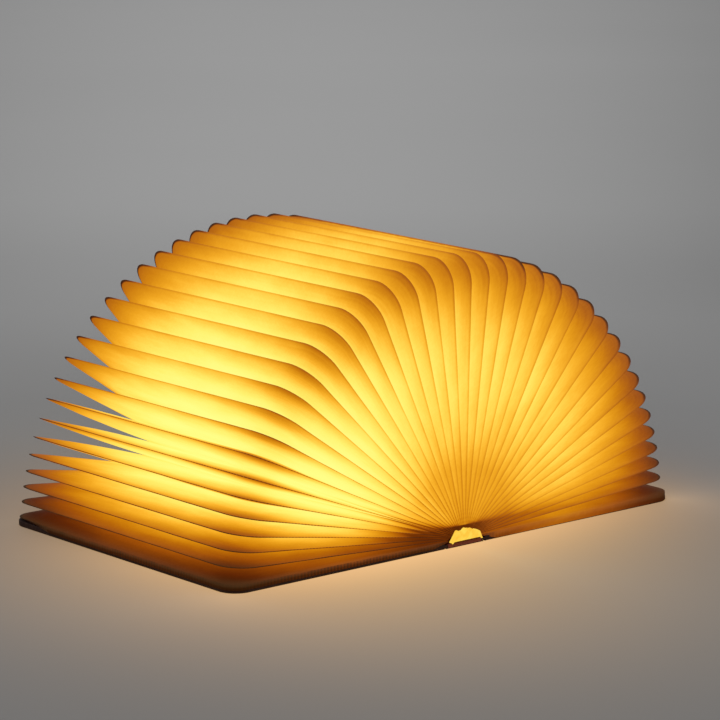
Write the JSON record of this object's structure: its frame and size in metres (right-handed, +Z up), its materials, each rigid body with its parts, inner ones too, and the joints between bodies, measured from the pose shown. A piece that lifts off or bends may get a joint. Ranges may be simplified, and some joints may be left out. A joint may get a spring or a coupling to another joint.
{
  "type": "folding book lamp",
  "caption": "Book-shaped lamp that opens flat; C-shaped pleats of a pale sheet fan out over a light bar in the spine and glow warm.",
  "frame": {"origin": "on the table, under the middle of the spine, with the lamp open flat", "axes": "+X towards the back cover's fore-edge, +Y along the spine towards the head, +Z up"},
  "size_m": [0.3474, 0.212, 0.1695],
  "materials": {
    "shade_sheet": "matte non-woven sheet, lit from inside",
    "cover_cloth": "dark book cloth",
    "endpaper": "dark red-brown paper",
    "grey_board": "grey board",
    "liner": "dark red-brown paper",
    "housing": "anodised",
    "board_white": "white solder mask",
    "led": "LED package",
    "diffuser": "opal",
    "battery": "pouch foil",
    "board_green": "green solder mask",
    "socket_metal": "plated",
    "magnet": "nickel plated"
  },
  "bodies": {
    "spine": {"spine_cloth": "cover_cloth", "spine_board": "liner", "spine_arch": "liner", "spine_hoods": "shade_sheet", "light_housing": "housing", "led_board": "board_white", "leds": "led", "diffuser": "diffuser", "battery_cell": "battery", "control_board": "board_green", "charging_socket": "socket_metal"},
    "back_cover": {"back_cover_board": "grey_board", "back_cover_cloth": "cover_cloth", "back_endpaper": "endpaper", "back_hinge_cloth": "cover_cloth", "back_cover_magnets": "magnet"},
    "front_cover": {"front_cover_board": "grey_board", "front_cover_cloth": "cover_cloth", "front_endpaper": "endpaper", "front_hinge_cloth": "cover_cloth", "front_cover_magnets": "magnet"},
    "pleat_01": {"page_01": "shade_sheet"},
    "pleat_02": {"page_02": "shade_sheet"},
    "pleat_03": {"page_03": "shade_sheet"},
    "pleat_04": {"page_04": "shade_sheet"},
    "pleat_05": {"page_05": "shade_sheet"},
    "pleat_06": {"page_06": "shade_sheet"},
    "pleat_07": {"page_07": "shade_sheet"},
    "pleat_08": {"page_08": "shade_sheet"},
    "pleat_09": {"page_09": "shade_sheet"},
    "pleat_10": {"page_10": "shade_sheet"},
    "pleat_11": {"page_11": "shade_sheet"},
    "pleat_12": {"page_12": "shade_sheet"},
    "pleat_13": {"page_13": "shade_sheet"},
    "pleat_14": {"page_14": "shade_sheet"},
    "pleat_15": {"page_15": "shade_sheet"},
    "pleat_16": {"page_16": "shade_sheet"},
    "pleat_17": {"page_17": "shade_sheet"},
    "pleat_18": {"page_18": "shade_sheet"},
    "pleat_19": {"page_19": "shade_sheet"},
    "pleat_20": {"page_20": "shade_sheet"},
    "pleat_21": {"page_21": "shade_sheet"},
    "pleat_22": {"page_22": "shade_sheet"},
    "pleat_23": {"page_23": "shade_sheet"},
    "pleat_24": {"page_24": "shade_sheet"},
    "pleat_25": {"page_25": "shade_sheet"},
    "pleat_26": {"page_26": "shade_sheet"},
    "pleat_27": {"page_27": "shade_sheet"},
    "pleat_28": {"page_28": "shade_sheet"},
    "pleat_29": {"page_29": "shade_sheet"},
    "pleat_30": {"page_30": "shade_sheet"},
    "pleat_31": {"page_31": "shade_sheet"},
    "pleat_32": {"page_32": "shade_sheet"},
    "pleat_33": {"page_33": "shade_sheet"},
    "pleat_34": {"page_34": "shade_sheet"},
    "pleat_35": {"page_35": "shade_sheet"},
    "pleat_36": {"page_36": "shade_sheet"},
    "pleat_37": {"page_37": "shade_sheet"},
    "pleat_38": {"page_38": "shade_sheet"},
    "pleat_39": {"page_39": "shade_sheet"}
  },
  "joints": [
    {"name": "back_cover_hinge", "type": "hinge", "parent": "spine", "child": "back_cover", "pos_m": [0.0146, 0, 0.0015], "axis": [0, -1, 0], "range_deg": [0, 90]},
    {"name": "front_cover_hinge", "type": "hinge", "parent": "spine", "child": "front_cover", "pos_m": [-0.0146, 0, 0.0015], "axis": [0, 1, 0], "range_deg": [0, 90]},
    {"name": "page_01_hinge", "type": "hinge", "parent": "spine", "child": "pleat_01", "pos_m": [-0.01169, 0, 0.004], "axis": [0, 1, 0], "range_deg": [0, 89.75], "deforming": ["page_01"]},
    {"name": "page_02_hinge", "type": "hinge", "parent": "spine", "child": "pleat_02", "pos_m": [-0.01108, 0, 0.00475], "axis": [0, 1, 0], "range_deg": [0, 86.79], "deforming": ["page_02"]},
    {"name": "page_03_hinge", "type": "hinge", "parent": "spine", "child": "pleat_03", "pos_m": [-0.01046, 0, 0.00528], "axis": [0, 1, 0], "range_deg": [0, 83.75], "deforming": ["page_03"]},
    {"name": "page_04_hinge", "type": "hinge", "parent": "spine", "child": "pleat_04", "pos_m": [-0.00985, 0, 0.00571], "axis": [0, 1, 0], "range_deg": [0, 80.54], "deforming": ["page_04"]},
    {"name": "page_05_hinge", "type": "hinge", "parent": "spine", "child": "pleat_05", "pos_m": [-0.00923, 0, 0.00606], "axis": [0, 1, 0], "range_deg": [0, 77.11], "deforming": ["page_05"]},
    {"name": "page_06_hinge", "type": "hinge", "parent": "spine", "child": "pleat_06", "pos_m": [-0.00862, 0, 0.00636], "axis": [0, 1, 0], "range_deg": [0, 73.4], "deforming": ["page_06"]},
    {"name": "page_07_hinge", "type": "hinge", "parent": "spine", "child": "pleat_07", "pos_m": [-0.008, 0, 0.00663], "axis": [0, 1, 0], "range_deg": [0, 69.39], "deforming": ["page_07"]},
    {"name": "page_08_hinge", "type": "hinge", "parent": "spine", "child": "pleat_08", "pos_m": [-0.00738, 0, 0.00686], "axis": [0, 1, 0], "range_deg": [0, 65.09], "deforming": ["page_08"]},
    {"name": "page_09_hinge", "type": "hinge", "parent": "spine", "child": "pleat_09", "pos_m": [-0.00677, 0, 0.00706], "axis": [0, 1, 0], "range_deg": [0, 60.51], "deforming": ["page_09"]},
    {"name": "page_10_hinge", "type": "hinge", "parent": "spine", "child": "pleat_10", "pos_m": [-0.00615, 0, 0.00724], "axis": [0, 1, 0], "range_deg": [0, 55.69], "deforming": ["page_10"]},
    {"name": "page_11_hinge", "type": "hinge", "parent": "spine", "child": "pleat_11", "pos_m": [-0.00554, 0, 0.00739], "axis": [0, 1, 0], "range_deg": [0, 50.69], "deforming": ["page_11"]},
    {"name": "page_12_hinge", "type": "hinge", "parent": "spine", "child": "pleat_12", "pos_m": [-0.00492, 0, 0.00752], "axis": [0, 1, 0], "range_deg": [0, 45.56], "deforming": ["page_12"]},
    {"name": "page_13_hinge", "type": "hinge", "parent": "spine", "child": "pleat_13", "pos_m": [-0.00431, 0, 0.00764], "axis": [0, 1, 0], "range_deg": [0, 40.36], "deforming": ["page_13"]},
    {"name": "page_14_hinge", "type": "hinge", "parent": "spine", "child": "pleat_14", "pos_m": [-0.00369, 0, 0.00774], "axis": [0, 1, 0], "range_deg": [0, 35.14], "deforming": ["page_14"]},
    {"name": "page_15_hinge", "type": "hinge", "parent": "spine", "child": "pleat_15", "pos_m": [-0.00308, 0, 0.00782], "axis": [0, 1, 0], "range_deg": [0, 29.93], "deforming": ["page_15"]},
    {"name": "page_16_hinge", "type": "hinge", "parent": "spine", "child": "pleat_16", "pos_m": [-0.00246, 0, 0.00788], "axis": [0, 1, 0], "range_deg": [0, 24.77], "deforming": ["page_16"]},
    {"name": "page_17_hinge", "type": "hinge", "parent": "spine", "child": "pleat_17", "pos_m": [-0.00185, 0, 0.00794], "axis": [0, 1, 0], "range_deg": [0, 19.65], "deforming": ["page_17"]},
    {"name": "page_18_hinge", "type": "hinge", "parent": "spine", "child": "pleat_18", "pos_m": [-0.00123, 0, 0.00797], "axis": [0, 1, 0], "range_deg": [0, 14.56], "deforming": ["page_18"]},
    {"name": "page_19_hinge", "type": "hinge", "parent": "spine", "child": "pleat_19", "pos_m": [-0.00062, 0, 0.00799], "axis": [0, 1, 0], "range_deg": [0, 9.47], "deforming": ["page_19"]},
    {"name": "page_20_hinge", "type": "hinge", "parent": "spine", "child": "pleat_20", "pos_m": [0, 0, 0.008], "axis": [0, 1, 0], "range_deg": [0, 4.35], "deforming": ["page_20"]},
    {"name": "page_21_hinge", "type": "hinge", "parent": "spine", "child": "pleat_21", "pos_m": [0.00062, 0, 0.00799], "axis": [0, -1, 0], "range_deg": [0, 0.944], "deforming": ["page_21"]},
    {"name": "page_22_hinge", "type": "hinge", "parent": "spine", "child": "pleat_22", "pos_m": [0.00123, 0, 0.00797], "axis": [0, -1, 0], "range_deg": [0, 6.25], "deforming": ["page_22"]},
    {"name": "page_23_hinge", "type": "hinge", "parent": "spine", "child": "pleat_23", "pos_m": [0.00185, 0, 0.00794], "axis": [0, -1, 0], "range_deg": [0, 11.69], "deforming": ["page_23"]},
    {"name": "page_24_hinge", "type": "hinge", "parent": "spine", "child": "pleat_24", "pos_m": [0.00246, 0, 0.00788], "axis": [0, -1, 0], "range_deg": [0, 17.27], "deforming": ["page_24"]},
    {"name": "page_25_hinge", "type": "hinge", "parent": "spine", "child": "pleat_25", "pos_m": [0.00308, 0, 0.00782], "axis": [0, -1, 0], "range_deg": [0, 23], "deforming": ["page_25"]},
    {"name": "page_26_hinge", "type": "hinge", "parent": "spine", "child": "pleat_26", "pos_m": [0.00369, 0, 0.00774], "axis": [0, -1, 0], "range_deg": [0, 28.85], "deforming": ["page_26"]},
    {"name": "page_27_hinge", "type": "hinge", "parent": "spine", "child": "pleat_27", "pos_m": [0.00431, 0, 0.00764], "axis": [0, -1, 0], "range_deg": [0, 34.76], "deforming": ["page_27"]},
    {"name": "page_28_hinge", "type": "hinge", "parent": "spine", "child": "pleat_28", "pos_m": [0.00492, 0, 0.00752], "axis": [0, -1, 0], "range_deg": [0, 40.68], "deforming": ["page_28"]},
    {"name": "page_29_hinge", "type": "hinge", "parent": "spine", "child": "pleat_29", "pos_m": [0.00554, 0, 0.00739], "axis": [0, -1, 0], "range_deg": [0, 46.52], "deforming": ["page_29"]},
    {"name": "page_30_hinge", "type": "hinge", "parent": "spine", "child": "pleat_30", "pos_m": [0.00615, 0, 0.00724], "axis": [0, -1, 0], "range_deg": [0, 52.21], "deforming": ["page_30"]},
    {"name": "page_31_hinge", "type": "hinge", "parent": "spine", "child": "pleat_31", "pos_m": [0.00677, 0, 0.00706], "axis": [0, -1, 0], "range_deg": [0, 57.67], "deforming": ["page_31"]},
    {"name": "page_32_hinge", "type": "hinge", "parent": "spine", "child": "pleat_32", "pos_m": [0.00738, 0, 0.00686], "axis": [0, -1, 0], "range_deg": [0, 62.84], "deforming": ["page_32"]},
    {"name": "page_33_hinge", "type": "hinge", "parent": "spine", "child": "pleat_33", "pos_m": [0.008, 0, 0.00663], "axis": [0, -1, 0], "range_deg": [0, 67.65], "deforming": ["page_33"]},
    {"name": "page_34_hinge", "type": "hinge", "parent": "spine", "child": "pleat_34", "pos_m": [0.00862, 0, 0.00636], "axis": [0, -1, 0], "range_deg": [0, 72.1], "deforming": ["page_34"]},
    {"name": "page_35_hinge", "type": "hinge", "parent": "spine", "child": "pleat_35", "pos_m": [0.00923, 0, 0.00606], "axis": [0, -1, 0], "range_deg": [0, 76.17], "deforming": ["page_35"]},
    {"name": "page_36_hinge", "type": "hinge", "parent": "spine", "child": "pleat_36", "pos_m": [0.00985, 0, 0.00571], "axis": [0, -1, 0], "range_deg": [0, 79.91], "deforming": ["page_36"]},
    {"name": "page_37_hinge", "type": "hinge", "parent": "spine", "child": "pleat_37", "pos_m": [0.01046, 0, 0.00528], "axis": [0, -1, 0], "range_deg": [0, 83.36], "deforming": ["page_37"]},
    {"name": "page_38_hinge", "type": "hinge", "parent": "spine", "child": "pleat_38", "pos_m": [0.01108, 0, 0.00475], "axis": [0, -1, 0], "range_deg": [0, 86.61], "deforming": ["page_38"]},
    {"name": "page_39_hinge", "type": "hinge", "parent": "spine", "child": "pleat_39", "pos_m": [0.01169, 0, 0.004], "axis": [0, -1, 0], "range_deg": [0, 89.75], "deforming": ["page_39"]}
  ],
  "couplings": [
    {"joint": "page_01_hinge", "follows": "front_cover_hinge", "ratio": 0.99667},
    {"joint": "page_02_hinge", "follows": "front_cover_hinge", "ratio": 0.9638},
    {"joint": "page_03_hinge", "follows": "front_cover_hinge", "ratio": 0.92998},
    {"joint": "page_04_hinge", "follows": "front_cover_hinge", "ratio": 0.89434},
    {"joint": "page_05_hinge", "follows": "front_cover_hinge", "ratio": 0.85617},
    {"joint": "page_06_hinge", "follows": "front_cover_hinge", "ratio": 0.81496},
    {"joint": "page_07_hinge", "follows": "front_cover_hinge", "ratio": 0.77045},
    {"joint": "page_08_hinge", "follows": "front_cover_hinge", "ratio": 0.72263},
    {"joint": "page_09_hinge", "follows": "front_cover_hinge", "ratio": 0.67175},
    {"joint": "page_10_hinge", "follows": "front_cover_hinge", "ratio": 0.61823},
    {"joint": "page_11_hinge", "follows": "front_cover_hinge", "ratio": 0.56265},
    {"joint": "page_12_hinge", "follows": "front_cover_hinge", "ratio": 0.50565},
    {"joint": "page_13_hinge", "follows": "front_cover_hinge", "ratio": 0.44788},
    {"joint": "page_14_hinge", "follows": "front_cover_hinge", "ratio": 0.38987},
    {"joint": "page_15_hinge", "follows": "front_cover_hinge", "ratio": 0.33206},
    {"joint": "page_16_hinge", "follows": "front_cover_hinge", "ratio": 0.27468},
    {"joint": "page_17_hinge", "follows": "front_cover_hinge", "ratio": 0.21778},
    {"joint": "page_18_hinge", "follows": "front_cover_hinge", "ratio": 0.16121},
    {"joint": "page_19_hinge", "follows": "front_cover_hinge", "ratio": 0.10468},
    {"joint": "page_20_hinge", "follows": "front_cover_hinge", "ratio": 0.047778},
    {"joint": "page_21_hinge", "follows": "back_cover_hinge", "ratio": 0.009933},
    {"joint": "page_22_hinge", "follows": "back_cover_hinge", "ratio": 0.068859},
    {"joint": "page_23_hinge", "follows": "back_cover_hinge", "ratio": 0.1293},
    {"joint": "page_24_hinge", "follows": "back_cover_hinge", "ratio": 0.19139},
    {"joint": "page_25_hinge", "follows": "back_cover_hinge", "ratio": 0.25506},
    {"joint": "page_26_hinge", "follows": "back_cover_hinge", "ratio": 0.32},
    {"joint": "page_27_hinge", "follows": "back_cover_hinge", "ratio": 0.38569},
    {"joint": "page_28_hinge", "follows": "back_cover_hinge", "ratio": 0.45142},
    {"joint": "page_29_hinge", "follows": "back_cover_hinge", "ratio": 0.51635},
    {"joint": "page_30_hinge", "follows": "back_cover_hinge", "ratio": 0.57958},
    {"joint": "page_31_hinge", "follows": "back_cover_hinge", "ratio": 0.64026},
    {"joint": "page_32_hinge", "follows": "back_cover_hinge", "ratio": 0.69763},
    {"joint": "page_33_hinge", "follows": "back_cover_hinge", "ratio": 0.75114},
    {"joint": "page_34_hinge", "follows": "back_cover_hinge", "ratio": 0.80053},
    {"joint": "page_35_hinge", "follows": "back_cover_hinge", "ratio": 0.8458},
    {"joint": "page_36_hinge", "follows": "back_cover_hinge", "ratio": 0.88729},
    {"joint": "page_37_hinge", "follows": "back_cover_hinge", "ratio": 0.92564},
    {"joint": "page_38_hinge", "follows": "back_cover_hinge", "ratio": 0.96174},
    {"joint": "page_39_hinge", "follows": "back_cover_hinge", "ratio": 0.99667}
  ]
}
